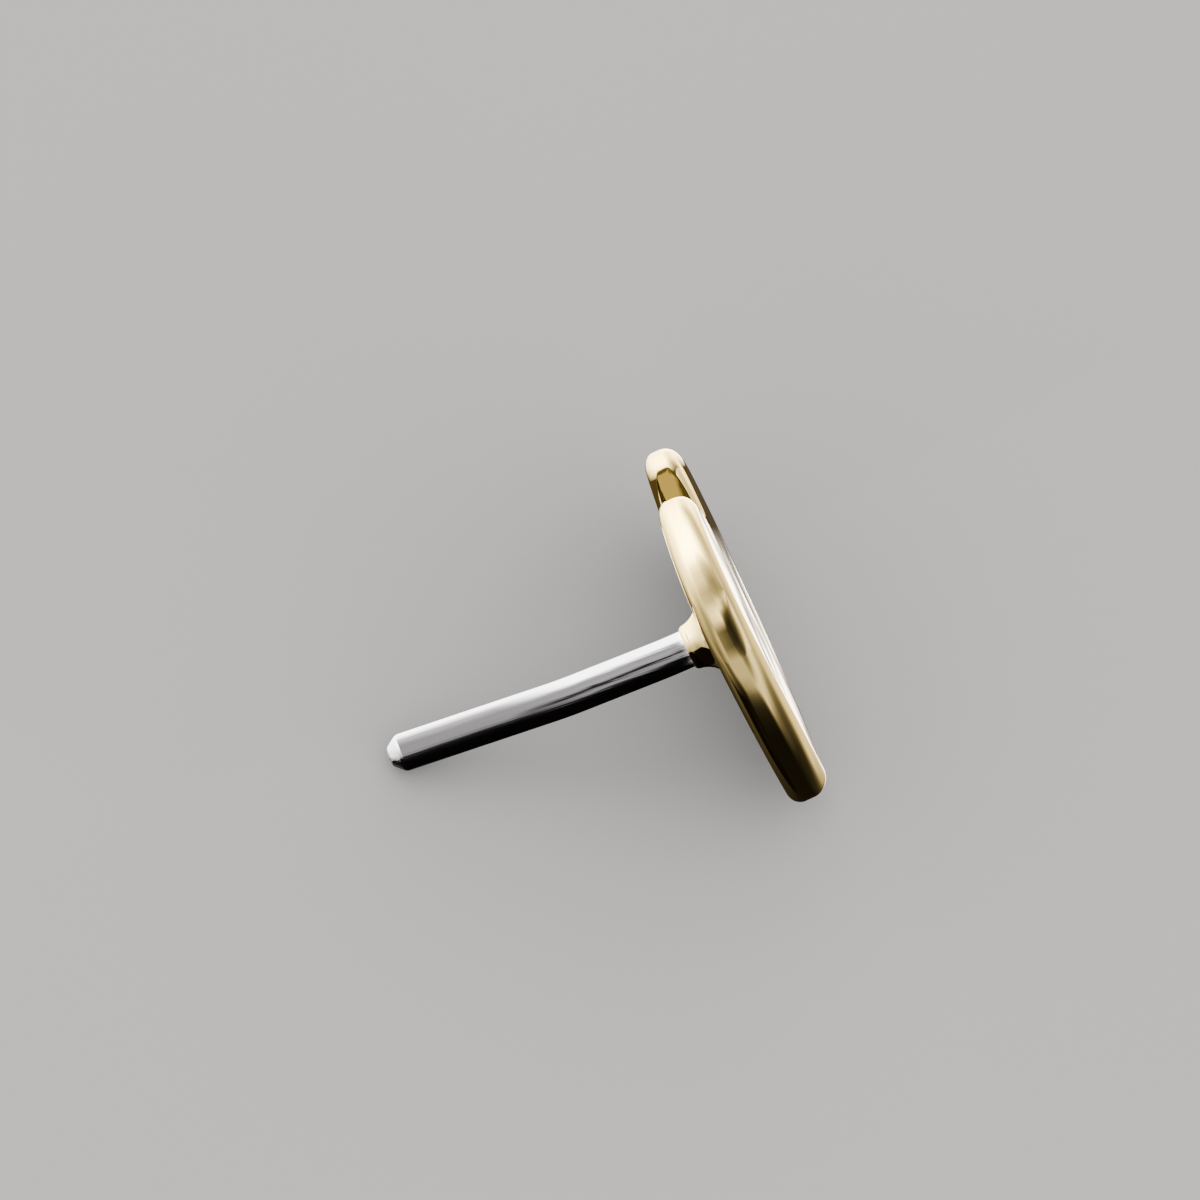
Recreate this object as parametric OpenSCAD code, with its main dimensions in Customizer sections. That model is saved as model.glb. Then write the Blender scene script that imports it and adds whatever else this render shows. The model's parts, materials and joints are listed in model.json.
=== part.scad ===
// Heart-shaped end for a threadless body piercing.
// A flat gold heart carries a bent press pin on its back.
// The stud rests by itself on one slightly bowed flank of the heart and on the tip of its pin.
// Millimetres, +Z up. The origin is at the middle of the footprint, on the surface it rests on.

/* [Heart] */
// Radius of each of the two lobes
lobe_r = 1.35; // [1.2:0.05:1.5]
// Distance between the centres of the two lobes
lobe_gap = 2.4; // [2.2:0.05:2.6]
// Radius of the rounded point
point_r = 0.55; // [0.4:0.05:0.7]
// Distance from the line through the lobe centres to the centre of the rounded point
point_drop = 2.85; // [2.6:0.05:3.1]
// Radius of the slight bow of each flank between lobe and point
flank_r = 8; // [6:0.5:14]
// Thickness of the plate
plate_t = 0.6; // [0.56:0.02:0.8]
// Rounding of the rim at the back face
back_round = 0.2; // [0.12:0.02:0.24]
// Rounding of the rim at the front face
front_round = 0.28; // [0.16:0.02:0.32]

/* [Boss] */
// Distance from the line through the lobe centres down to the pin
pin_drop = 0.87; // [0.6:0.01:1]
// Height of the boss above the back face
boss_h = 0.36; // [0.26:0.02:0.4]
// Radius of the boss where the pin leaves it
boss_r = 0.3; // [0.29:0.01:0.34]
// Depth of the pin's socket below the back face
socket_depth = 0.32; // [0.25:0.01:0.4]
// Gap between the pin and its socket, on the radius and at the bottom
socket_gap = 0.015; // [0.01:0.005:0.02]

/* [Pin] */
// Diameter of the pin
pin_d = 0.5; // [0.48:0.01:0.52]
// Length of the straight stretch from the back face to the first bend
root_len = 0.4; // [0.4:0.02:0.6]
// Length of the straight stretch between the two bends
middle_len = 1.06; // [0.8:0.02:1.4]
// Length of the straight free end, its chamfer included
end_len = 2.2; // [1.6:0.05:2.4]
// Angle of each of the two bends, in degrees
bend_angle = 3; // [0:0.2:4]
// Radius of each bend, along the middle of the pin
bend_r = 8; // [5:0.5:12]
// Direction in which the pin leans, in degrees from the heart's own upward line
lean_dir = 16; // [0:1:90]
// Length of the chamfer at the tip
tip_chamfer = 0.16; // [0.1:0.01:0.2]
// Radius of the small flat at the very tip
tip_r = 0.12; // [0.06:0.01:0.14]

/* [Hidden] */
$fn = 96;
pin_r = pin_d / 2;
socket_r = pin_r + socket_gap;
boss_flare = boss_h;
overlap = 0.05;
core_inset = 0.34;
lobe_x = lobe_gap / 2;
cleft_y = sqrt(lobe_r * lobe_r - lobe_x * lobe_x);

// Centre of the right flank's arc, from the distances to the centres of the lobe and the point
centre_dist = sqrt(lobe_x * lobe_x + point_drop * point_drop);
lobe_reach = flank_r - lobe_r;
point_reach = flank_r - point_r;
share = (lobe_reach * lobe_reach - point_reach * point_reach + centre_dist * centre_dist)
    / (2 * centre_dist * centre_dist);
aside = sqrt(lobe_reach * lobe_reach / (centre_dist * centre_dist) - share * share);
flank_x = lobe_x - share * lobe_x - aside * point_drop;
flank_y = -share * point_drop + aside * lobe_x;

// Directions in which the flank meets the lobe and the point, and how far it bows between them
lobe_turn = atan2(-flank_y, lobe_x - flank_x);
point_turn = atan2(-point_drop - flank_y, -flank_x);
flank_bow = flank_r * (1 - cos((lobe_turn - point_turn) / 2));

// The flank touches the floor below the stud's point of balance, a quarter of the way to the point
balance_y = -0.25 * point_drop;
down_turn = atan2(balance_y - flank_y, -flank_x);
rest_turn = -90 - down_turn;

// Distance from the pin's centre to the floor along the plate
flank_dist = flank_r + flank_x * cos(down_turn) + (flank_y + pin_drop) * sin(down_turn);

// Positions along the bent pin: how far it has gone out from the back face, and how far sideways
bend_out = bend_r * sin(bend_angle);
bend_side = bend_r * (1 - cos(bend_angle));
lean = 2 * bend_angle;
first_out = root_len + bend_out;
first_side = bend_side;
second_out = first_out + middle_len * cos(bend_angle);
second_side = first_side + middle_len * sin(bend_angle);
end_out = second_out + bend_out * cos(bend_angle) - bend_side * sin(bend_angle);
end_side = second_side + bend_side * cos(bend_angle) + bend_out * sin(bend_angle);
function along_end(d) = [end_side + d * sin(lean), end_out + d * cos(lean)];

// Share of the sideways lean that points up from the floor once the flank is down
lean_turned = 90 - lean_dir + rest_turn;
lean_up = sin(lean_turned);

// Heights over the pin's root at which flank and pin touch the floor, for a given tilt of the pin
shoulder = along_end(end_len - tip_chamfer);
function flank_low(t) = back_round * sin(t) - (flank_dist - back_round) * cos(t) - back_round;
function pin_up(t) = cos(lean) * -sin(t) + sin(lean) * lean_up * cos(t);
function pin_low(t) = -shoulder[1] * sin(t) + shoulder[0] * lean_up * cos(t)
    - pin_r * sqrt(1 - pin_up(t) * pin_up(t));

// Tilt at which both touch, found by halving an interval
function find_tilt(low, high, steps) =
    steps == 0 ? (low + high) / 2 :
    pin_low((low + high) / 2) > flank_low((low + high) / 2)
        ? find_tilt((low + high) / 2, high, steps - 1)
        : find_tilt(low, (low + high) / 2, steps - 1);
rest_tilt = find_tilt(5, 45, 30);
lift = -flank_low(rest_tilt);

// Reach of the resting stud on both sides of the pin's root, to centre the footprint
pin_end = along_end(end_len);
function pin_run(t) = -cos(lean) * cos(t) - sin(lean) * lean_up * sin(t);
reach_back = -pin_end[1] * cos(rest_tilt) - pin_end[0] * lean_up * sin(rest_tilt)
    - tip_r * sqrt(1 - pin_run(rest_tilt) * pin_run(rest_tilt));
reach_front = (plate_t - front_round) * cos(rest_tilt)
    + (flank_dist - front_round) * sin(rest_tilt) + front_round;
function turned_x(x, y) = x * cos(rest_turn) - y * sin(rest_turn);
reach_right = max(
    turned_x(lobe_x, pin_drop) + lobe_r,
    turned_x(0, pin_drop - point_drop) + point_r
);
reach_left = min(
    turned_x(-lobe_x, pin_drop) - lobe_r,
    turned_x(0, pin_drop - point_drop) - point_r
);

// Sets the stud down on its flank and its pin. Its own frame has the pin's root at the origin on the
// back face, the heart's upward line along Y and the front face towards +Z.
module at_rest() {
    translate([-(reach_back + reach_front) / 2, -(reach_left + reach_right) / 2, lift])
        rotate([0, -rest_tilt, 0])
            rotate([90, 0, 90])
                rotate([0, 0, rest_turn])
                    children();
}

// Half section of the rim: inner width, then the rounded wall at radius r
module rim_section(inner, r) {
    difference() {
        translate([inner, 0])
            square([r - inner, plate_t]);
        rim_corner(r, back_round);
        translate([0, plate_t])
            mirror([0, 1])
                rim_corner(r, front_round);
    }
}

// What a rounded edge takes away from the section's corner at the bottom
module rim_corner(r, rounding) {
    difference() {
        translate([r - rounding, -overlap])
            square([rounding + overlap, rounding + overlap]);
        translate([r - rounding, rounding])
            circle(r = rounding);
    }
}

// A round of the plate with rounded rims, for the lobes and the point
module round_pad(r) {
    rotate_extrude()
        rim_section(0, r);
}

// One bowed flank between a lobe and the point, on the right side
module flank_bar() {
    translate([flank_x, flank_y, 0])
        rotate([0, 0, point_turn])
            rotate_extrude(angle = lobe_turn - point_turn)
                rim_section(flank_r - core_inset - flank_bow - overlap, flank_r);
}

// Plain middle of the plate, inside all the rims
module plate_core() {
    out = lobe_r - core_inset;
    low = point_r - core_inset;
    linear_extrude(plate_t)
        polygon([
            [0, cleft_y - core_inset],
            [lobe_x, 0],
            [lobe_x + out * cos(lobe_turn), out * sin(lobe_turn)],
            [low * cos(point_turn), low * sin(point_turn) - point_drop],
            [-low * cos(point_turn), low * sin(point_turn) - point_drop],
            [-lobe_x - out * cos(lobe_turn), out * sin(lobe_turn)],
            [-lobe_x, 0]
        ]);
}

// The heart with its lobe centres on the X axis
module heart_plate() {
    for (side = [-1, 1])
        translate([side * lobe_x, 0, 0])
            round_pad(lobe_r);
    translate([0, -point_drop, 0])
        round_pad(point_r);
    flank_bar();
    mirror([1, 0, 0])
        flank_bar();
    plate_core();
}

// Flared boss round the root of the pin
module boss() {
    rotate_extrude()
        difference() {
            translate([0, -boss_h])
                square([boss_r + boss_flare, boss_h + overlap]);
            translate([boss_r + boss_flare, -boss_h])
                circle(r = boss_flare);
        }
}

// Blind socket that takes the root of the pin
module socket() {
    translate([0, 0, -boss_h - overlap])
        cylinder(h = boss_h + overlap + socket_depth, r = socket_r);
}

// One bend of the pin, from straight along Z over towards X
module pin_bend() {
    translate([bend_r, 0, 0])
        rotate([90, 0, 180])
            rotate_extrude(angle = bend_angle)
                translate([bend_r, 0])
                    circle(r = pin_r);
}

// Carries on from the end of a bend
module after_bend() {
    translate([bend_side, 0, bend_out])
        rotate([0, bend_angle, 0])
            children();
}

// Straight free end with its chamfered tip
module free_end() {
    rotate_extrude()
        polygon([
            [0, 0],
            [pin_r, 0],
            [pin_r, end_len - tip_chamfer],
            [tip_r, end_len],
            [0, end_len]
        ]);
}

module heart_head() {
    color("goldenrod")
        at_rest()
            difference() {
                union() {
                    translate([0, pin_drop, 0])
                        heart_plate();
                    boss();
                }
                socket();
            }
}

module pin() {
    seat = socket_depth - socket_gap;
    color("gainsboro")
        at_rest()
            rotate([0, 0, 90 - lean_dir])
                rotate([180, 0, 0]) {
                    translate([0, 0, -seat])
                        cylinder(h = seat + root_len, r = pin_r);
                    translate([0, 0, root_len]) {
                        pin_bend();
                        after_bend() {
                            cylinder(h = middle_len, r = pin_r);
                            translate([0, 0, middle_len]) {
                                pin_bend();
                                after_bend()
                                    free_end();
                            }
                        }
                    }
                }
}

heart_head();
pin();
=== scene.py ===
import json
import math
import bmesh
import bpy
from mathutils import Matrix, Vector


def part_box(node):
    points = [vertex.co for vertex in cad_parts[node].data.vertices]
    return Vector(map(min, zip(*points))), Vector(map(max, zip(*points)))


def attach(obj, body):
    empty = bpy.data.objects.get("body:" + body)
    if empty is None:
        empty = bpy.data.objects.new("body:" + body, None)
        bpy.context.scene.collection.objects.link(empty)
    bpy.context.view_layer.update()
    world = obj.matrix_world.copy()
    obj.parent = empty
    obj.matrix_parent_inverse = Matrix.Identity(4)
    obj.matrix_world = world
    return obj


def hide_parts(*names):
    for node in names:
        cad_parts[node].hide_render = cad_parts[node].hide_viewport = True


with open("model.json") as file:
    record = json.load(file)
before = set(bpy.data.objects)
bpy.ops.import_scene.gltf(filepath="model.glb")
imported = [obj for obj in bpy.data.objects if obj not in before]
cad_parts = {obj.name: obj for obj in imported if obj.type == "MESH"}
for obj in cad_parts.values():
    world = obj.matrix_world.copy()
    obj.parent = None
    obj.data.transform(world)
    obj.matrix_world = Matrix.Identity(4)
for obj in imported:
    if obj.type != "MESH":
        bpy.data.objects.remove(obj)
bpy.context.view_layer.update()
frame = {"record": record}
print("frame loaded")

# Both pieces are modelled in millimetres in the stud's own frame: the pin's root at the origin on
# the back face, the heart's upward line along Y, the front face towards +Z. Each one is then set
# down on the floor, in metres.
millimetre = 0.001
outlineGap = 0.0005  # ends of the outline's lines this close are joined
finishedGap = 0.0002  # and corners of a finished piece this close
sameHeight = 0.0001
samePlace = 0.0005


def startEditing():
    bpy.ops.object.mode_set(mode="EDIT")
    bpy.ops.mesh.select_mode(type="VERT")


def stopEditing():
    bpy.ops.object.mode_set(mode="OBJECT")


def applyPlace():
    bpy.ops.object.transform_apply(location=True, rotation=True, scale=True)


# Adds a primitive with nothing else selected, and with its place in its mesh
def addPrimitive(name, operator, **settings):
    bpy.ops.object.select_all(action="DESELECT")
    operator(**settings)
    applyPlace()
    piece = bpy.context.object
    piece.name = name
    piece.data.name = name
    return piece


# Selects the edges or the faces that a rule holds for
def pick(kind, rule):
    bpy.ops.mesh.select_mode(type=kind)
    bpy.ops.mesh.select_all(action="DESELECT")
    mesh = bmesh.from_edit_mesh(bpy.context.object.data)
    mesh.normal_update()
    for part in mesh.edges if kind == "EDGE" else mesh.faces:
        part.select_set(rule(part))
    bmesh.update_edit_mesh(bpy.context.object.data)


def extrudeBy(move):
    bpy.ops.mesh.extrude_region_move(TRANSFORM_OT_translate={"value": move})


# Rings grow out of the selected one, each at its own radius and height
def growRings(rings, radius, height):
    for nextRadius, nextHeight in rings:
        extrudeBy((0, 0, nextHeight - height))
        share = nextRadius / radius
        bpy.ops.transform.resize(value=(share, share, 1), center_override=(0, 0, 0))
        radius, height = nextRadius, nextHeight


def roundOff(rounding, segments):
    bpy.ops.mesh.bevel(
        offset_type="OFFSET", offset=rounding, segments=segments, profile=0.5,
        affect="EDGES", clamp_overlap=False
    )


# Keeps what lies on that side of a line through a place to which the given direction points
def keepSide(place, keep):
    bpy.ops.mesh.select_all(action="SELECT")
    bpy.ops.mesh.bisect(plane_co=place, plane_no=keep, clear_inner=True)


# Joins what touches and turns every face outwards
def closeShell():
    bpy.ops.mesh.select_all(action="SELECT")
    bpy.ops.mesh.remove_doubles(threshold=finishedGap)
    bpy.ops.mesh.normals_make_consistent(inside=False)
    stopEditing()


def applyModifier(piece, kind, **settings):
    modifier = piece.modifiers.new(kind.lower(), kind)
    for key, value in settings.items():
        setattr(modifier, key, value)
    bpy.ops.object.modifier_apply(modifier=modifier.name)


# Lifts every vertex along Z by its own share of the given distance
def liftBy(piece, distance, shareOf):
    stopEditing()
    group = piece.vertex_groups.new(name="share")
    for vertex in piece.data.vertices:
        group.add([vertex.index], shareOf(vertex.co), "REPLACE")
    applyModifier(piece, "DISPLACE", direction="Z", mid_level=0, strength=distance,
                  vertex_group=group.name)
    piece.vertex_groups.clear()
    startEditing()


heart = {
    "lobeRadius": 1.35,
    "lobeGap": 2.4,  # between the centres of the two lobes
    "pointRadius": 0.55,
    "pointDrop": 2.85,  # from the lobes' centres down to the point's
    "flankRadius": 8,
    "pinDrop": 0.87,  # from the lobes' centres down to the pin
    "thickness": 0.6,
    "backRounding": 0.2,
    "frontRounding": 0.28,
    "rimSteps": 16,
    "roundSteps": 260,
    "flankSteps": 1080,
    "flatNormal": 0.999,  # least share of Z in the normal of a flat face
    "thinning": 0.09,  # taken off the back at the tops of the lobes
    "thinningStart": 0.7,
    "thinningMargin": 0.02,
    "thinningCuts": 36,
    "thinnedFace": 0.01,  # smallest face that is cut for it, in square millimetres
    "crown": 0.03,
    "crownCuts": 44,
    "crownedFace": 0.0001,
}

# Centres of the right lobe, of the rounded point and of the right flank's wide arc, which
# touches both from outside
lobeCentre = Vector((heart["lobeGap"] / 2, heart["pinDrop"], 0))
pointCentre = Vector((0, heart["pinDrop"] - heart["pointDrop"], 0))
apart = (pointCentre - lobeCentre).length
lobeReach = heart["flankRadius"] - heart["lobeRadius"]
pointReach = heart["flankRadius"] - heart["pointRadius"]
along = (lobeReach ** 2 - pointReach ** 2 + apart ** 2) / (2 * apart)
aside = math.sqrt(lobeReach ** 2 - along ** 2)
towards = (pointCentre - lobeCentre) / apart
flankCentre = lobeCentre + towards * along + Vector((towards.y, -towards.x, 0)) * aside
lobeOut = (lobeCentre - flankCentre).normalized()
pointOut = (pointCentre - flankCentre).normalized()
lobeEnd = lobeCentre + lobeOut * heart["lobeRadius"]
pointStart = pointCentre + pointOut * heart["pointRadius"]


# Hides the finished arcs and adds the next circle
def addCircle(steps, radius, centre):
    bpy.ops.mesh.select_all(action="SELECT")
    bpy.ops.mesh.hide(unselected=False)
    bpy.ops.mesh.primitive_circle_add(vertices=steps, radius=radius, location=centre)


# Right half of the outline: lobe, bowed flank and half the point, as one open line
def drawHalfOutline():
    piece = addPrimitive(
        "polished_heart", bpy.ops.mesh.primitive_circle_add,
        vertices=heart["flankSteps"], radius=heart["flankRadius"], location=flankCentre
    )
    startEditing()
    keepSide(flankCentre, (lobeOut.y, -lobeOut.x, 0))
    keepSide(flankCentre, (-pointOut.y, pointOut.x, 0))

    addCircle(heart["roundSteps"], heart["lobeRadius"], lobeCentre)
    keepSide((0, 0, 0), (1, 0, 0))
    acrossLobe = lobeEnd - Vector((0, heart["pinDrop"], 0))
    keepSide(lobeEnd, (-acrossLobe.y, acrossLobe.x, 0))

    addCircle(heart["roundSteps"] // 2, heart["pointRadius"], pointCentre)
    keepSide((0, 0, 0), (1, 0, 0))
    keepSide(pointCentre, (pointOut.y, -pointOut.x, 0))

    bpy.ops.mesh.reveal(select=True)
    bpy.ops.mesh.select_all(action="SELECT")
    bpy.ops.mesh.remove_doubles(threshold=outlineGap)
    stopEditing()
    return piece


# Mirrors the half outline, fills it, raises the plate from it and rounds both rims
def raisePlate(piece):
    applyModifier(piece, "MIRROR", use_clip=True, merge_threshold=outlineGap)
    startEditing()
    bpy.ops.mesh.select_all(action="SELECT")
    bpy.ops.mesh.edge_face_add()
    extrudeBy((0, 0, heart["thickness"]))
    bpy.ops.mesh.select_all(action="SELECT")
    bpy.ops.mesh.normals_make_consistent(inside=False)
    for height, rounding in ((0, heart["backRounding"]),
                             (heart["thickness"], heart["frontRounding"])):
        pick("EDGE", lambda edge: all(abs(v.co.z - height) < sameHeight for v in edge.verts))
        roundOff(rounding, heart["rimSteps"])


# The back face curves towards the front a little as it nears the tops of the lobes
def thinTowardsLobes(piece):
    start, cuts = heart["thinningStart"], heart["thinningCuts"]
    top = heart["pinDrop"] + heart["lobeRadius"]
    last = top - heart["backRounding"] - heart["thinningMargin"]
    for step in range(cuts):
        pick("FACE", lambda face: (
            face.normal.z < -heart["flatNormal"] and face.calc_area() > heart["thinnedFace"]
        ))
        height = start + (last - start) * step / (cuts - 1)
        bpy.ops.mesh.bisect(plane_co=(0, height, 0), plane_no=(0, 1, 0))
    liftBy(piece, heart["thinning"], lambda place: (
        max(0, place.y - start) / (top - start)
    ) ** 2 * (1 - place.z / heart["thickness"]))


# The front face is crowned a little, as polishing leaves it
def crownFront(piece):
    cuts = heart["crownCuts"]
    half = heart["lobeGap"] / 2 + heart["lobeRadius"]
    for axis in (0, 1):
        for step in range(1, cuts):
            pick("FACE", lambda face: (
                face.normal.z > heart["flatNormal"] and face.calc_area() > heart["crownedFace"]
            ))
            place = [0, 0, 0]
            place[axis] = half * (2 * step / cuts - 1)
            normal = [0, 0, 0]
            normal[axis] = 1
            bpy.ops.mesh.bisect(plane_co=place, plane_no=normal)
    liftBy(piece, -heart["crown"], lambda place: (
        (place.x / half) ** 2 + (place.y / half) ** 2
    ) * place.z / heart["thickness"])


boss = {
    "height": 0.36,
    "radius": 0.3,
    "baseFace": 1,  # the back face is the only flat one larger than this, in square millimetres
    "flareTurn": 84,
    "flareSteps": 20,
    "lipRise": 0.045,
    "lipSteps": 4,
    "socketDepth": 0.32,
    "socketGap": 0.015,  # round the pin and under its end
    "ringVertices": 144,
    "ringMargin": 0.001,
}


# The back face opens round a ring, out of which the flare, its soft lip and the socket grow
def growBoss():
    pick("FACE", lambda face: (
        face.normal.z < -heart["flatNormal"] and face.calc_area() > boss["baseFace"]
    ))
    bpy.ops.mesh.delete(type="ONLY_FACE")
    flare = boss["height"]
    baseRadius = boss["radius"] + flare
    bpy.ops.mesh.select_mode(type="EDGE")
    bpy.ops.mesh.select_all(action="DESELECT")
    bpy.ops.mesh.primitive_circle_add(vertices=boss["ringVertices"], radius=baseRadius)
    pick("EDGE", lambda edge: len(edge.link_faces) < 2)
    bpy.ops.mesh.fill(use_beauty=True)

    socketRadius = pin["diameter"] / 2 + boss["socketGap"]
    rings = []
    for step in range(1, boss["flareSteps"] + 1):
        turn = math.radians(boss["flareTurn"]) * step / boss["flareSteps"]
        rings.append((baseRadius - flare * math.sin(turn), -flare * (1 - math.cos(turn))))
    lipRadius, lipHeight = rings[-1]
    for step in range(1, boss["lipSteps"] + 1):
        share = step / boss["lipSteps"]
        rings.append((lipRadius + (socketRadius - lipRadius) * share,
                      lipHeight - boss["lipRise"] * (2 * share - share * share)))
    rings.append((socketRadius, boss["socketDepth"]))
    pick("EDGE", lambda edge: all(
        abs(v.co.z) < sameHeight and abs(v.co.xy.length - baseRadius) < boss["ringMargin"]
        for v in edge.verts
    ))
    growRings(rings, baseRadius, 0)
    bpy.ops.mesh.edge_face_add()


def makeHeart():
    piece = drawHalfOutline()
    raisePlate(piece)
    thinTowardsLobes(piece)
    crownFront(piece)
    growBoss()
    closeShell()
    return piece


pin = {
    "diameter": 0.5,
    "rootLength": 0.4,
    "bendAngle": 3,
    "bendRadius": 8,
    "bendSteps": 8,
    "middleLength": 1.06,
    "endLength": 2.2,
    "tipChamfer": 0.16,
    "tipRadius": 0.12,
    "tipSoftening": 0.035,
    "tipSteps": 5,
    "leanDirection": 16,  # from the heart's upward line
    "ringVertices": 144,
}


# Straight root, two slight bends towards +X, each with a straight stretch after it, and the
# chamfered tip, all along -Z. The whole pin is then turned to the side to which it leans.
def makePin():
    radius = pin["diameter"] / 2
    seat = boss["socketDepth"] - boss["socketGap"]
    bend = math.radians(pin["bendAngle"])
    piece = addPrimitive(
        "drawn_pin", bpy.ops.mesh.primitive_circle_add, vertices=pin["ringVertices"],
        radius=radius, fill_type="NGON", location=(0, 0, seat)
    )
    startEditing()
    bpy.ops.mesh.select_mode(type="FACE")
    bpy.ops.mesh.select_all(action="SELECT")
    extrudeBy((0, 0, -seat - pin["rootLength"]))
    place = Vector((0, 0, -pin["rootLength"]))
    lean = 0
    for length in (pin["middleLength"], pin["endLength"] - pin["tipChamfer"]):
        heading = Vector((math.sin(lean), 0, -math.cos(lean)))
        sideways = Vector((math.cos(lean), 0, math.sin(lean)))
        centre = place + sideways * pin["bendRadius"]
        bpy.ops.mesh.spin(steps=pin["bendSteps"], angle=bend, center=centre, axis=(0, 1, 0))
        place = place + sideways * pin["bendRadius"] * (1 - math.cos(bend))
        place = place + heading * pin["bendRadius"] * math.sin(bend)
        lean = lean + bend
        heading = Vector((math.sin(lean), 0, -math.cos(lean)))
        extrudeBy(heading * length)
        place = place + heading * length
    shoulder = place
    extrudeBy(heading * pin["tipChamfer"])
    place = place + heading * pin["tipChamfer"]
    share = pin["tipRadius"] / radius
    bpy.ops.transform.resize(value=(share, share, share), center_override=place)

    # Soft edges where the chamfer starts and ends
    pick("EDGE", lambda edge: any(
        all(abs((v.co - end).dot(heading)) < samePlace for v in edge.verts)
        for end in (place, shoulder)
    ))
    roundOff(pin["tipSoftening"], pin["tipSteps"])
    closeShell()
    piece.rotation_euler = (0, 0, math.radians(90 - pin["leanDirection"]))
    applyPlace()
    return piece


rest = {
    "balanceDrop": 0.25,  # point of balance, as a share of the way from the lobes to the point
    "smoothAngle": 35,
}


def mountNamed(name):
    return [mount for mount in frame["record"]["mounts"] if mount["name"] == name][0]


def meshBox(piece):
    corners = [vertex.co for vertex in piece.data.vertices]
    low = Vector([min(corner[axis] for corner in corners) for axis in range(3)])
    high = Vector([max(corner[axis] for corner in corners) for axis in range(3)])
    return low, high


# The flank touches the floor straight below the point of balance, and the front face's mount
# gives the tilt
balance = Vector((0, heart["pinDrop"] - rest["balanceDrop"] * heart["pointDrop"], 0))
downTurn = math.atan2(balance.y - flankCentre.y, balance.x - flankCentre.x)
restTurn = Matrix.Rotation(math.radians(-90) - downTurn, 4, "Z")
frontAxis = mountNamed("front_face")["axis"]
restTilt = math.atan2(frontAxis[2], frontAxis[0])
tilted = Matrix.Rotation(-restTilt, 4, "Y")

# These two turn X to Y, Y to Z and Z to X, and swap Y with Z
axesRound = Matrix(((0, 0, 1, 0), (1, 0, 0, 0), (0, 1, 0, 0), (0, 0, 0, 1)))
axesSwapped = Matrix(((1, 0, 0, 0), (0, 0, 1, 0), (0, 1, 0, 0), (0, 0, 0, 1)))
setDown = tilted @ axesRound @ restTurn


# Turns a piece from its own frame to the resting one, in metres. The heart goes to the middle of
# its solid's box, and the pin then takes the heart's shift.
def placePiece(piece, shift=None):
    bpy.ops.object.select_all(action="DESELECT")
    piece.select_set(True)
    bpy.context.view_layer.objects.active = piece
    piece.matrix_world = Matrix.Scale(millimetre, 4) @ setDown
    applyPlace()
    if shift is None:
        low, high = meshBox(piece)
        boxLow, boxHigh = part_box("heart_head")
        shift = (boxLow + boxHigh - low - high) / 2
    piece.location = shift
    applyPlace()
    bpy.ops.object.shade_smooth_by_angle(angle=math.radians(rest["smoothAngle"]))
    applyModifier(piece, "WEIGHTED_NORMAL", mode="FACE_AREA", keep_sharp=True)
    return shift


heartPiece = makeHeart()
rootPlace = placePiece(heartPiece)
print("heart modelled", len(heartPiece.data.polygons), "faces")
pinPiece = makePin()
placePiece(pinPiece, rootPlace)
print("pin modelled", len(pinPiece.data.polygons), "faces")
for piece, node in ((heartPiece, "heart_head"), (pinPiece, "pin")):
    low, high = meshBox(piece)
    boxLow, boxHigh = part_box(node)
    print(node, "box off by", (low - boxLow) / millimetre, (high - boxHigh) / millimetre)


def newMaterial(name):
    material = bpy.data.materials.new(name)
    material.use_nodes = True
    tree = material.node_tree
    return material, tree, tree.nodes["Principled BSDF"]


def addNode(tree, kind, **settings):
    node = tree.nodes.new("ShaderNode" + kind)
    for key, value in settings.items():
        setattr(node, key, value)
    return node


# Links a socket to another node's output, or sets it where the value is a plain one
def feed(tree, socket, value):
    if isinstance(value, bpy.types.NodeSocket):
        tree.links.new(value, socket)
    else:
        socket.default_value = value


def feedNamed(tree, node, **values):
    for name, value in values.items():
        feed(tree, node.inputs[name], value)


def objectPlace(tree):
    return addNode(tree, "TexCoord").outputs["Object"]


def mapOn(tree, source, kind, value):
    node = addNode(tree, "Mapping")
    feed(tree, node.inputs["Vector"], source)
    feed(tree, node.inputs[kind], value)
    return node.outputs["Vector"]


def noiseOn(tree, source, scale, detail, roughness):
    node = addNode(tree, "TexNoise")
    feedNamed(tree, node, Vector=source, Scale=scale, Detail=detail, Roughness=roughness)
    return node.outputs["Fac"]


# Carries the first pair of values over to the second one
def rangeOn(tree, source, fromPair, toPair=(0, 1)):
    node = addNode(tree, "MapRange")
    feed(tree, node.inputs["Value"], source)
    for name, value in zip(("From Min", "From Max", "To Min", "To Max"), (*fromPair, *toPair)):
        feed(tree, node.inputs[name], value)
    return node.outputs["Result"]


def mixOn(tree, share, first, second):
    node = addNode(tree, "Mix", data_type="RGBA")
    feedNamed(tree, node, Factor=share, A=first, B=second)
    return node.outputs["Result"]


def bumpOn(tree, height, strength, distance, before=None):
    node = addNode(tree, "Bump")
    feedNamed(tree, node, Height=height, Strength=strength, Distance=distance)
    if before is not None:
        feed(tree, node.inputs["Normal"], before)
    return node.outputs["Normal"]


# Each noise is given by its scale, detail and roughness, and each bump's distance is in metres
gold = {
    "colour": (0.9, 0.66, 0.22, 1),
    "paleColour": (0.94, 0.71, 0.27, 1),
    "toneNoise": (350, 2, 0.5),
    "toneRange": (0.35, 0.65),
    "edgeTint": (1, 0.86, 0.58, 1),
    "polish": 0.03,
    "hazePolish": 0.09,
    "hazeNoise": (900, 3, 0.6),
    "hazeRange": (0.4, 0.75),
    "wave": 0.2,
    "waveDistance": 0.0002,
    "waveNoise": (620, 1, 0.4),
    "scratch": 0.02,
    "scratchDistance": 0.00001,
    "scratchNoise": (14000, 2, 0.6),
}


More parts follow.
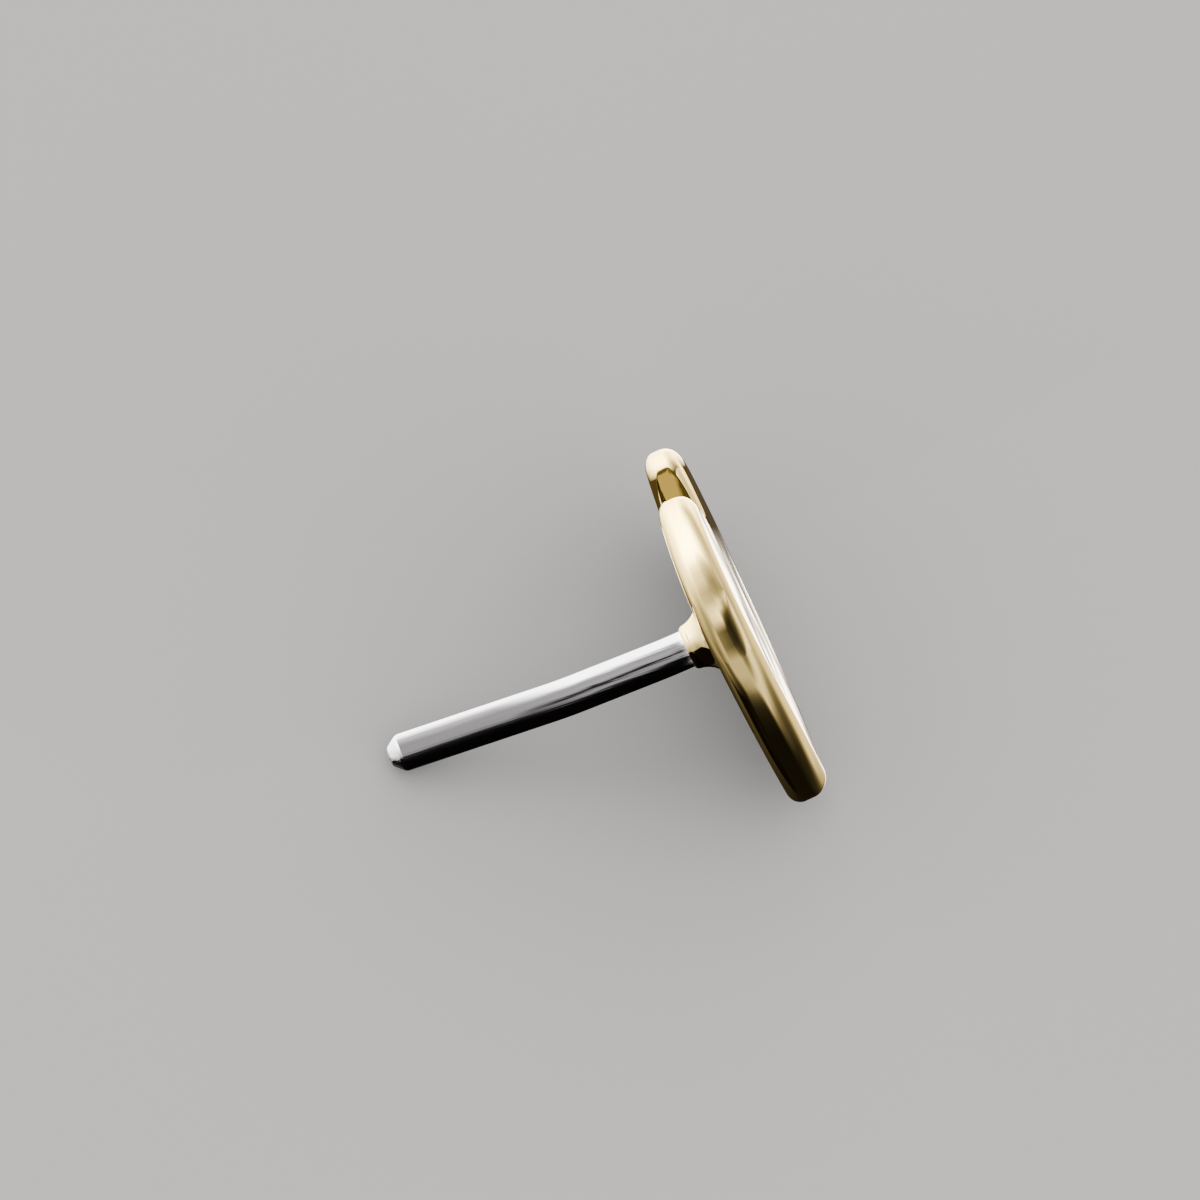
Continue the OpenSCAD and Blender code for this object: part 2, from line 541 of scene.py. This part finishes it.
def makeGold():
    material, tree, shader = newMaterial("polished_pale_gold")
    place = objectPlace(tree)
    tone = rangeOn(tree, noiseOn(tree, place, *gold["toneNoise"]), gold["toneRange"])
    feed(tree, shader.inputs["Base Color"],
         mixOn(tree, tone, gold["colour"], gold["paleColour"]))
    haze = noiseOn(tree, place, *gold["hazeNoise"])
    feed(tree, shader.inputs["Roughness"],
         rangeOn(tree, haze, gold["hazeRange"], (gold["polish"], gold["hazePolish"])))
    wave = noiseOn(tree, place, *gold["waveNoise"])
    scratches = noiseOn(tree, place, *gold["scratchNoise"])
    waved = bumpOn(tree, wave, gold["wave"], gold["waveDistance"])
    feed(tree, shader.inputs["Normal"],
         bumpOn(tree, scratches, gold["scratch"], gold["scratchDistance"], waved))
    shader.inputs["Metallic"].default_value = 1
    shader.inputs["Specular Tint"].default_value = gold["edgeTint"]
    return material


whiteMetal = {
    "colour": (0.8, 0.77, 0.78, 1),
    "darkColour": (0.66, 0.63, 0.65, 1),
    "polish": 0.07,
    "linePolish": 0.16,
    "bandNoise": (5000, 2, 0.5),
    "bandRange": (0.35, 0.7),
    "lines": 0.28,
    "lineNoise": (16000, 3, 0.6),
    "lineSqueeze": 0.03,  # lines and bands run long along the pin
    "wave": 0.8,
    "waveNoise": (2600, 1, 0.4),
    "waveSqueeze": 0.35,
    "bumpDistance": 0.00002,
}


# Drawn lines, bands of haze and soft waves, all stretched along the pin's free end
def makeWhiteMetal():
    material, tree, shader = newMaterial("drawn_white_metal")
    axis = Vector(mountNamed("press_pin")["axis"])
    turn = axis.to_track_quat("Z", "Y").to_matrix().inverted().to_euler()
    upright = mapOn(tree, objectPlace(tree), "Rotation", turn)
    drawn = mapOn(tree, upright, "Scale", (1, 1, whiteMetal["lineSqueeze"]))
    swelled = mapOn(tree, upright, "Scale", (1, 1, whiteMetal["waveSqueeze"]))
    bands = noiseOn(tree, drawn, *whiteMetal["bandNoise"])
    feed(tree, shader.inputs["Base Color"],
         mixOn(tree, rangeOn(tree, bands, whiteMetal["bandRange"]),
               whiteMetal["colour"], whiteMetal["darkColour"]))
    feed(tree, shader.inputs["Roughness"],
         rangeOn(tree, bands, whiteMetal["bandRange"],
                 (whiteMetal["polish"], whiteMetal["linePolish"])))
    wave = noiseOn(tree, swelled, *whiteMetal["waveNoise"])
    lines = noiseOn(tree, drawn, *whiteMetal["lineNoise"])
    waved = bumpOn(tree, wave, whiteMetal["wave"], whiteMetal["bumpDistance"])
    feed(tree, shader.inputs["Normal"],
         bumpOn(tree, lines, whiteMetal["lines"], whiteMetal["bumpDistance"], waved))
    shader.inputs["Metallic"].default_value = 1
    return material


for piece, node, slot, makeMetal in (
        (heartPiece, "heart_head", "yellow_gold", makeGold),
        (pinPiece, "pin", "white_metal", makeWhiteMetal)):
    piece.data.materials.clear()
    piece.data.materials.append(makeMetal())
    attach(piece, "root")
    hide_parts(node)
print("metals set")

# The photograph's view, in the stud's own frame: almost along the plate from its left side,
# turned a little about the pin, a touch from the front, and rolled
view = {
    "aboutPin": 16,
    "fromFront": 3,
    "roll": -24.6,
    "pixelsPerMillimetre": 77,
    "pictureSize": 1200,
    "rootPixel": (713, 637),
    "lens": 300,
    "sensorWidth": 36,
    "nearest": 0.005,
    "farthest": 3,
}


# Axes of the plate as the camera meets it: along the view, up the heart, and out of its front
def plateFrame():
    turnMatrix = setDown.to_3x3()
    about = math.radians(view["aboutPin"])
    inPlane = turnMatrix @ Vector((math.cos(about), -math.sin(about), 0))
    upward = turnMatrix @ Vector((math.sin(about), math.cos(about), 0))
    outward = turnMatrix @ Vector((0, 0, 1))
    return inPlane, upward, outward


inPlane, upward, outward = plateFrame()


def makeCamera():
    front, roll = math.radians(view["fromFront"]), math.radians(view["roll"])
    forward = inPlane * math.cos(front) - outward * math.sin(front)
    level = outward * math.cos(front) + inPlane * math.sin(front)
    right = level * math.cos(roll) + upward * math.sin(roll)
    up = upward * math.cos(roll) - level * math.sin(roll)

    pixel = millimetre / view["pixelsPerMillimetre"]
    middle = view["pictureSize"] / 2
    rootX, rootY = view["rootPixel"]
    target = rootPlace + right * (middle - rootX) * pixel + up * (rootY - middle) * pixel
    distance = view["pictureSize"] * pixel * view["lens"] / view["sensorWidth"]
    data = bpy.data.cameras.new("photoCamera")
    data.lens = view["lens"]
    data.sensor_width = view["sensorWidth"]
    data.clip_start = view["nearest"]
    data.clip_end = view["farthest"]
    camera = bpy.data.objects.new("photoCamera", data)
    bpy.context.scene.collection.objects.link(camera)
    turn = Matrix((right, up, -forward)).transposed()
    camera.matrix_world = Matrix.Translation(target - forward * distance) @ turn.to_4x4()
    bpy.context.scene.camera = camera
    return target


target = makeCamera()
print("camera set")

floor = {
    "size": 2,
    "colour": (0.62, 0.61, 0.6, 1),
    "paleColour": (0.66, 0.65, 0.64, 1),
    "toneNoise": (60, 3, 0.5),
    "roughness": 0.8,
    "gloss": 0.1,
}


def makeFloor():
    piece = addPrimitive("pale_floor", bpy.ops.mesh.primitive_plane_add, size=floor["size"])
    material, tree, shader = newMaterial("pale_floor")
    tone = noiseOn(tree, objectPlace(tree), *floor["toneNoise"])
    feed(tree, shader.inputs["Base Color"],
         mixOn(tree, tone, floor["colour"], floor["paleColour"]))
    shader.inputs["Roughness"].default_value = floor["roughness"]
    shader.inputs["Specular IOR Level"].default_value = floor["gloss"]
    piece.data.materials.append(material)
    piece.visible_glossy = False


# Light levels mix on a scale from 0 to 1 where equal steps look equally large
lightScale = {"darkest": 0.002, "brightest": 24}
lightSpan = lightScale["brightest"] / lightScale["darkest"]


def mathOn(tree, operation, *values):
    node = addNode(tree, "Math", operation=operation)
    for socket, value in zip(node.inputs, values):
        feed(tree, socket, value)
    return node.outputs["Value"]


def vectorOn(tree, operation, *values):
    node = addNode(tree, "VectorMath", operation=operation)
    for socket, value in zip(node.inputs, values):
        feed(tree, socket, value)
    return node


def dotOn(tree, source, axis):
    return vectorOn(tree, "DOT_PRODUCT", source, axis).outputs["Value"]


def splitPlace(tree):
    node = addNode(tree, "SeparateXYZ")
    feed(tree, node.inputs["Vector"], objectPlace(tree))
    return node.outputs


# A ramp over the turn from -180 to 180 degrees, with a level at each of the given angles
def levelsOn(tree, turn, levels):
    ramp = addNode(tree, "ValToRGB")
    while len(ramp.color_ramp.elements) < len(levels):
        ramp.color_ramp.elements.new(0.5)
    for element, (degrees, level) in zip(ramp.color_ramp.elements, levels):
        share = math.log(level / lightScale["darkest"]) / math.log(lightSpan)
        element.position = (degrees + 180) / 360
        element.color = (share, share, share, 1)
    feed(tree, ramp.inputs["Fac"], rangeOn(tree, turn, (-math.pi, math.pi)))
    return ramp.outputs["Color"]


# The level that a share of the scale stands for
def scaledLevel(tree, share):
    return mathOn(tree, "MULTIPLY", mathOn(tree, "POWER", lightSpan, share),
                  lightScale["darkest"])


def newGlow(name):
    material, tree, shader = newMaterial(name)
    tree.nodes.remove(shader)
    return material, tree


# Glows at a level, but only where a surface mirrors it straight to the camera. Where it isn't
# shown, light passes through.
def finishCard(card, material, tree, level, colour, shown=None):
    depth = addNode(tree, "LightPath").outputs["Diffuse Depth"]
    direct = mathOn(tree, "LESS_THAN", depth, 0.5)
    glow = addNode(tree, "Emission")
    feedNamed(tree, glow, Color=colour, Strength=mathOn(tree, "MULTIPLY", direct, level))
    result = glow.outputs["Emission"]
    if shown is not None:
        mix = addNode(tree, "MixShader")
        clear = addNode(tree, "BsdfTransparent").outputs["BSDF"]
        for socket, value in zip(mix.inputs, (shown, clear, result)):
            feed(tree, socket, value)
        result = mix.outputs["Shader"]
    feed(tree, tree.nodes["Material Output"].inputs["Surface"], result)
    card.data.materials.append(material)
    card.visible_camera = False
    card.visible_diffuse = False
    card.visible_transmission = False
    card.visible_shadow = False


# A matrix from millimetres towards the camera, up the heart and out of its front to the world
def studMatrix(near, up, out):
    turnMatrix = Matrix((-inPlane, upward, outward)).transposed()
    place = rootPlace + turnMatrix @ Vector((near, up, out)) * millimetre
    return Matrix.Translation(place) @ turnMatrix.to_4x4() @ Matrix.Scale(millimetre, 4)


# How far the spot that mirrors a light lies along one of the plate's axes, from the pin's root
def spotOn(tree, axis):
    geometry = addNode(tree, "NewGeometry").outputs
    back = vectorOn(tree, "SCALE", geometry["Incoming"])
    feed(tree, back.inputs["Scale"], addNode(tree, "LightPath").outputs["Ray Length"])
    spot = vectorOn(tree, "ADD", geometry["Position"], back.outputs["Vector"])
    return mathOn(tree, "SUBTRACT", dotOn(tree, spot.outputs["Vector"], axis),
                  axis.dot(rootPlace))


# Light levels by direction. Each band lies at its own angle from the plate, behind it when
# negative and in front when positive. In a band, 0 faces the camera, 90 is up and -90 is down.
tent = {
    "radius": 0.4,
    "segments": 48,
    "rings": 24,
    "colour": (1, 0.985, 0.96, 1),
    "bands": {
        -75: [(-180, 0.9), (-120, 0.8), (-60, 1), (0, 1.6), (60, 3), (120, 3), (180, 0.9)],
        -45: [(-180, 0.12), (-150, 0.12), (-124, 0.3), (-105, 0.5), (-92, 0.25), (-80, 0.2),
              (-60, 0.35), (-15, 0.6), (5, 1.3), (25, 3.2), (45, 5), (65, 7), (130, 6),
              (160, 2), (180, 0.12)],
        -16: [(-180, 0.1), (-165, 0.02), (-103, 0.012), (-94, 0.03), (-86, 0.9), (-74, 1),
              (-45, 1.2), (-30, 0.9), (-14, 1.5), (5, 2), (25, 4.5), (40, 9), (55, 15),
              (150, 10), (168, 6), (180, 0.1)],
        2.2: [(-180, 0.4), (-172, 0.2), (-160, 0.012), (-106, 0.008), (-98, 0.04), (-92, 0.9),
              (-80, 0.9), (-62, 0.1), (-42, 0.1), (-35, 0.6), (-28, 3), (-20, 4), (-12, 2.4),
              (-5, 1.1), (5, 0.85), (18, 2), (28, 2.6), (36, 4.5), (46, 13), (60, 20),
              (110, 15), (150, 10), (166, 9), (174, 0.5), (180, 0.4)],
        4: [(-180, 13), (-172, 9), (-162, 0.02), (-106, 0.01), (-98, 0.1), (-93, 0.9),
            (-83, 0.9), (-62, 0.06), (-42, 0.06), (-35, 0.5), (-28, 2.6), (-20, 3.6),
            (-12, 2.2), (-5, 1.1), (5, 0.85), (18, 1.9), (28, 2.4), (38, 4.5), (48, 13),
            (60, 20), (110, 15), (150, 10), (168, 13), (180, 13)],
        12: [(-180, 5), (-168, 0.6), (-150, 0.05), (-120, 0.02), (-109, 0.06), (-101, 1.2),
             (-93, 1.6), (-84, 0.35), (-74, 0.12), (-60, 0.05), (-38, 0.05), (-28, 0.3),
             (-16, 3), (-6, 1.5), (5, 0.7), (18, 1.3), (30, 1.9), (42, 5), (54, 16),
             (75, 18), (110, 12), (150, 6), (166, 9), (180, 5)],
        28: [(-180, 2.2), (-165, 1.8), (-150, 1.4), (-140, 0.2), (-133, 0.04), (-122, 0.04),
             (-114, 0.12), (-106, 0.9), (-98, 1.8), (-91, 1.2), (-84, 0.08), (-60, 0.03),
             (-36, 0.03), (-27, 0.1), (-17, 2), (-9, 2.4), (0, 0.7), (14, 0.6), (25, 1.2),
             (38, 2.2), (47, 6), (58, 18), (90, 14), (110, 6), (130, 2), (146, 4), (160, 9),
             (171, 3.5), (180, 2.2)],
        50: [(-180, 2), (-155, 1.6), (-128, 0.9), (-115, 2), (-105, 3), (-92, 2), (-82, 0.6),
             (-55, 0.13), (-30, 0.1), (-20, 0.5), (-10, 1.1), (5, 0.5), (18, 0.5),
             (35, 1.2), (46, 2.2), (58, 7), (85, 6), (108, 2.2), (135, 1.2), (160, 2.4),
             (180, 2)],
        72: [(-180, 1), (-140, 0.8), (-110, 1.8), (-90, 2.6), (-75, 2.4), (-55, 1.5),
             (-38, 0.6), (-22, 2.6), (-10, 1.8), (5, 0.6), (25, 0.75), (60, 1.2), (90, 1.5),
             (150, 1.2), (180, 1)],
    },
}


# A tent round the stud that only shows as a reflection
def makeTent():
    piece = addPrimitive("light_tent", bpy.ops.mesh.primitive_uv_sphere_add,
                         segments=tent["segments"], ring_count=tent["rings"],
                         radius=tent["radius"])
    material, tree = newGlow("tent_cloth")
    direction = vectorOn(tree, "NORMALIZE", objectPlace(tree)).outputs["Vector"]
    turn = mathOn(tree, "ARCTAN2", dotOn(tree, direction, upward),
                  dotOn(tree, direction, -inPlane))
    slant = mathOn(tree, "ARCSINE", dotOn(tree, direction, outward))
    angles = sorted(tent["bands"])
    result = levelsOn(tree, turn, tent["bands"][angles[0]])
    for before, angle in zip(angles, angles[1:]):
        share = rangeOn(tree, slant, (math.radians(before), math.radians(angle)))
        result = mixOn(tree, share, result, levelsOn(tree, turn, tent["bands"][angle]))
    finishCard(piece, material, tree, scaledLevel(tree, result), tent["colour"])


# Millimetres, with levels by the turn round the pin, as in the tent
sleeve = {
    "radius": 1.6,
    "segments": 96,
    "up": 0.12,
    "reach": (0.45, 5.2),  # behind the plate's back
    "colour": (1, 0.985, 0.99, 1),
    "widest": 0.4,  # reflections that run along the pin by more than this share pass through
    "change": (0.9, -0.1),  # along the sleeve, from the levels near the boss to those at the end
    "bossLevels": [
        (-180, 1), (-172, 0.3), (-158, 0.12), (-146, 0.003), (-46, 0.002), (-38, 0.02),
        (-32, 0.25), (-22, 0.5), (-10, 0.35), (-6, 0.015), (2, 0.012), (7, 0.35),
        (13, 0.65), (40, 0.5), (50, 0.8), (60, 5), (75, 9), (150, 9), (180, 1)],
    "endLevels": [
        (-180, 1), (-172, 0.3), (-158, 0.12), (-146, 0.003), (-46, 0.002), (-30, 0.01),
        (-20, 0.06), (-8, 0.35), (7, 0.5), (25, 0.5), (40, 0.45), (55, 0.6), (70, 1),
        (80, 1.8), (95, 5), (110, 9), (150, 9), (180, 1)],
}


# Softer lights close round the pin
def makeSleeve():
    start, end = sleeve["reach"]
    piece = addPrimitive("pin_light_sleeve", bpy.ops.mesh.primitive_cylinder_add,
                         vertices=sleeve["segments"], radius=sleeve["radius"],
                         depth=end - start, end_fill_type="NOTHING")
    piece.matrix_world = studMatrix(0, sleeve["up"], -(start + end) / 2)
    material, tree = newGlow("sleeve_cloth")
    place = splitPlace(tree)
    turn = mathOn(tree, "ARCTAN2", place["Y"], place["X"])
    incoming = addNode(tree, "NewGeometry").outputs["Incoming"]
    slant = mathOn(tree, "ABSOLUTE", dotOn(tree, incoming, outward))
    shown = mathOn(tree, "LESS_THAN", slant, sleeve["widest"])
    result = mixOn(tree, rangeOn(tree, place["Z"], sleeve["change"]),
                   levelsOn(tree, turn, sleeve["bossLevels"]),
                   levelsOn(tree, turn, sleeve["endLevels"]))
    finishCard(piece, material, tree, scaledLevel(tree, result), sleeve["colour"], shown)


# Millimetres from the pin's root: towards the camera, up the heart and out of its front
goldReflectionCard = {
    "near": (-7.5, 16),
    "up": 22,
    "out": (-80, 50),
    "fade": 1.2,  # soft border all round
    # Glow colour of the painted deep gold reflection on the far lobe
    "colour": (1, 0.84, 0.42, 1),
    "level": 0.75,
    "backRange": (-11, -8),  # along "out", from the card's dark back to its full level
    "backShares": (0.09, 1),
    "frontRange": (8, 18),
    "frontShares": (1, 0.15),
    "streakNear": -5,
    "streakRange": (0.8, 2),  # to both sides of the streak's middle
    "streakShares": (0.2, 1),
    "unevenNoise": (0.09, 2, 0.5),
    "unevenRange": (0.3, 0.7),
    "unevenShift": (-3, 3),
    "spotsBeyond": -0.7,  # along the view
    "spotsAbove": 1,  # up the heart
}


# A glowing deep gold card above the far lobe, painting a deep gold reflection on it that is
# darker at both ends and in a streak, with uneven borders between them. Only the far lobe's spots
# mirror it.
def makeGoldReflectionCard():
    (nearLow, nearHigh), (outLow, outHigh) = goldReflectionCard["near"], goldReflectionCard["out"]
    piece = addPrimitive("gold_reflection_card", bpy.ops.mesh.primitive_plane_add, size=1)
    startEditing()
    bpy.ops.mesh.select_all(action="SELECT")
    bpy.ops.transform.resize(
        value=(nearHigh - nearLow, outHigh - outLow, 1), center_override=(0, 0, 0)
    )
    bpy.ops.transform.translate(value=((nearLow + nearHigh) / 2, (outLow + outHigh) / 2, 0))
    stopEditing()
    piece.matrix_world = studMatrix(0, goldReflectionCard["up"], 0) @ axesSwapped

    material, tree = newGlow("gold_reflection_card")
    place = splitPlace(tree)
    uneven = rangeOn(tree, noiseOn(tree, objectPlace(tree), *goldReflectionCard["unevenNoise"]),
                     goldReflectionCard["unevenRange"], goldReflectionCard["unevenShift"])
    out = mathOn(tree, "ADD", place["Y"], uneven)
    across = mathOn(tree, "SUBTRACT", mathOn(tree, "ADD", place["X"], uneven),
                    goldReflectionCard["streakNear"])
    level = goldReflectionCard["level"]
    for source, part in ((out, "back"), (out, "front"),
                         (mathOn(tree, "ABSOLUTE", across), "streak")):
        share = rangeOn(tree, source, goldReflectionCard[part + "Range"], goldReflectionCard[part + "Shares"])
        level = mathOn(tree, "MULTIPLY", level, share)

    shown = mathOn(
        tree, "MULTIPLY",
        mathOn(tree, "GREATER_THAN", spotOn(tree, inPlane), goldReflectionCard["spotsBeyond"] * millimetre),
        mathOn(tree, "GREATER_THAN", spotOn(tree, upward), goldReflectionCard["spotsAbove"] * millimetre)
    )
    fade = goldReflectionCard["fade"]
    for axis, (low, high) in (("X", goldReflectionCard["near"]), ("Y", goldReflectionCard["out"])):
        for pair in ((low, low + fade), (high, high - fade)):
            shown = mathOn(tree, "MULTIPLY", shown, rangeOn(tree, place[axis], pair))
    finishCard(piece, material, tree, level, goldReflectionCard["colour"], shown)


flag = {
    # Glow colour of the dark flags, which paint dark reflections on the metal
    "colour": (1, 0.8, 0.5, 1),
    "border": (0.5, 0.4),  # shares of the flag's size from its middle, where its edge fades out
}


# A unit square with soft borders held up as a dark flag, which paints a dark reflection on the
# metal. It shows only in reflections that run backward by more than the shallowest share, and
# only for spots of the metal within some limits: an axis, and two places along it in millimetres
# between which the flag fades in.
def makeFlag(name, place, shallowest, limits, level):
    piece = addPrimitive(name, bpy.ops.mesh.primitive_plane_add, size=1)
    piece.matrix_world = place
    material, tree = newGlow(name)
    incoming = addNode(tree, "NewGeometry").outputs["Incoming"]
    shown = mathOn(tree, "GREATER_THAN", dotOn(tree, incoming, outward), shallowest)
    for axis, start, end in limits:
        chosen = rangeOn(tree, spotOn(tree, axis), (start * millimetre, end * millimetre))
        shown = mathOn(tree, "MULTIPLY", shown, chosen)
    across = splitPlace(tree)
    for axis in ("X", "Y"):
        edge = rangeOn(tree, mathOn(tree, "ABSOLUTE", across[axis]), flag["border"])
        shown = mathOn(tree, "MULTIPLY", shown, edge)
    finishCard(piece, material, tree, level, flag["colour"], shown)


flankFlag = {
    "gap": 0.22,  # from the flank
    "span": (0.14, 1.25),  # shares of the way from the lobe to the point
    "out": (-1.8, 0.25),
    "shallowest": 0.2,
    "spotsOut": (0.06, 0.08),
    "level": 0.006,
}


# Along the near flank, painting a dark reflection on the back edge of that flank
def makeFlankFlag():
    mirrored = Matrix.Scale(-1, 3, (1, 0, 0))
    first = mirrored @ (lobeEnd + lobeOut * flankFlag["gap"])
    last = mirrored @ (pointStart + pointOut * flankFlag["gap"])
    start, end = (first.lerp(last, share) for share in flankFlag["span"])
    low, high = flankFlag["out"]
    length = (end - start).length
    lengthwise = (end - start) / length
    axes = Matrix((lengthwise, (0, 0, 1), lengthwise.cross((0, 0, 1)))).transposed().to_4x4()
    middle = (start + end) / 2 + Vector((0, 0, (low + high) / 2))
    inStud = Matrix.Translation(middle) @ axes @ Matrix.Diagonal((length, high - low, 1, 1))
    place = Matrix.Translation(rootPlace) @ Matrix.Scale(millimetre, 4) @ setDown @ inStud
    makeFlag("black_flag", place, flankFlag["shallowest"],
             [(outward, *flankFlag["spotsOut"])], flankFlag["level"])


bossFlag = {
    "near": (-25, 40),
    "up": -17,
    "out": (-70, 6),
    "shallowest": 0.1,
    "spotsOut": (-0.02, -0.04),
    "level": 0.006,
}


# Below the boss, painting shade on its lower half as a dark reflection
def makeBossFlag():
    (nearLow, nearHigh), (outLow, outHigh) = bossFlag["near"], bossFlag["out"]
    place = studMatrix((nearLow + nearHigh) / 2, bossFlag["up"], (outLow + outHigh) / 2)
    size = Matrix.Diagonal((nearHigh - nearLow, outHigh - outLow, 1, 1))
    makeFlag("boss_flag", place @ axesSwapped @ size, bossFlag["shallowest"],
             [(outward, *bossFlag["spotsOut"])], bossFlag["level"])


farFlags = {
    "flags": {
        "far_flag": {"near": -25, "up": (-9, 15), "out": (-15, 15), "spotsOut": (0.7, 0.66)},
        "far_rim_flag": {"near": -26, "up": (-40, 90), "out": (-90, 90),
                         "spotsOut": (0.53, 0.49)},
    },
    "shallowest": -0.6,
    "spotsBeyond": (-0.7, -0.6),  # along the view
    "spotsAbove": (0.8, 1.3),  # up the heart
    "spotsBelow": (2.34, 2.17),
    "level": 0.1,
}


# Behind the far lobe, painting a dark reflection on the edges of that lobe below its bright top
def makeFarFlags():
    for name, spread in farFlags["flags"].items():
        (upLow, upHigh), (outLow, outHigh) = spread["up"], spread["out"]
        place = studMatrix(spread["near"], (upLow + upHigh) / 2, (outLow + outHigh) / 2)
        size = Matrix.Diagonal((upHigh - upLow, outHigh - outLow, 1, 1))
        limits = [(inPlane, *farFlags["spotsBeyond"]), (upward, *farFlags["spotsAbove"]),
                  (upward, *farFlags["spotsBelow"]), (outward, *spread["spotsOut"])]
        makeFlag(name, place @ axesRound @ size, farFlags["shallowest"], limits,
                 farFlags["level"])


room = {"colour": (1, 0.99, 0.98, 1), "strength": 1.1}


def makeRoom():
    world = bpy.data.worlds.new("studio")
    world.use_nodes = True
    bpy.context.scene.world = world
    background = world.node_tree.nodes["Background"]
    background.inputs["Color"].default_value = room["colour"]
    background.inputs["Strength"].default_value = room["strength"]


keyLight = {"place": (-0.05, 0.12, 0.16), "size": 0.1, "power": 0.03}


def makeKeyLight():
    data = bpy.data.lights.new("keyLight", "AREA")
    data.shape = "SQUARE"
    data.size = keyLight["size"]
    data.energy = keyLight["power"]
    light = bpy.data.objects.new("keyLight", data)
    bpy.context.scene.collection.objects.link(light)
    light.location = keyLight["place"]
    towardsStud = target - Vector(keyLight["place"])
    light.rotation_euler = towardsStud.to_track_quat("-Z", "Y").to_euler()
    light.visible_glossy = False


makeFloor()
makeTent()
makeSleeve()
makeGoldReflectionCard()
makeFlankFlag()
makeBossFlag()
makeFarFlags()
print("floor and light cards set")
makeRoom()
makeKeyLight()
print("room and key light set")
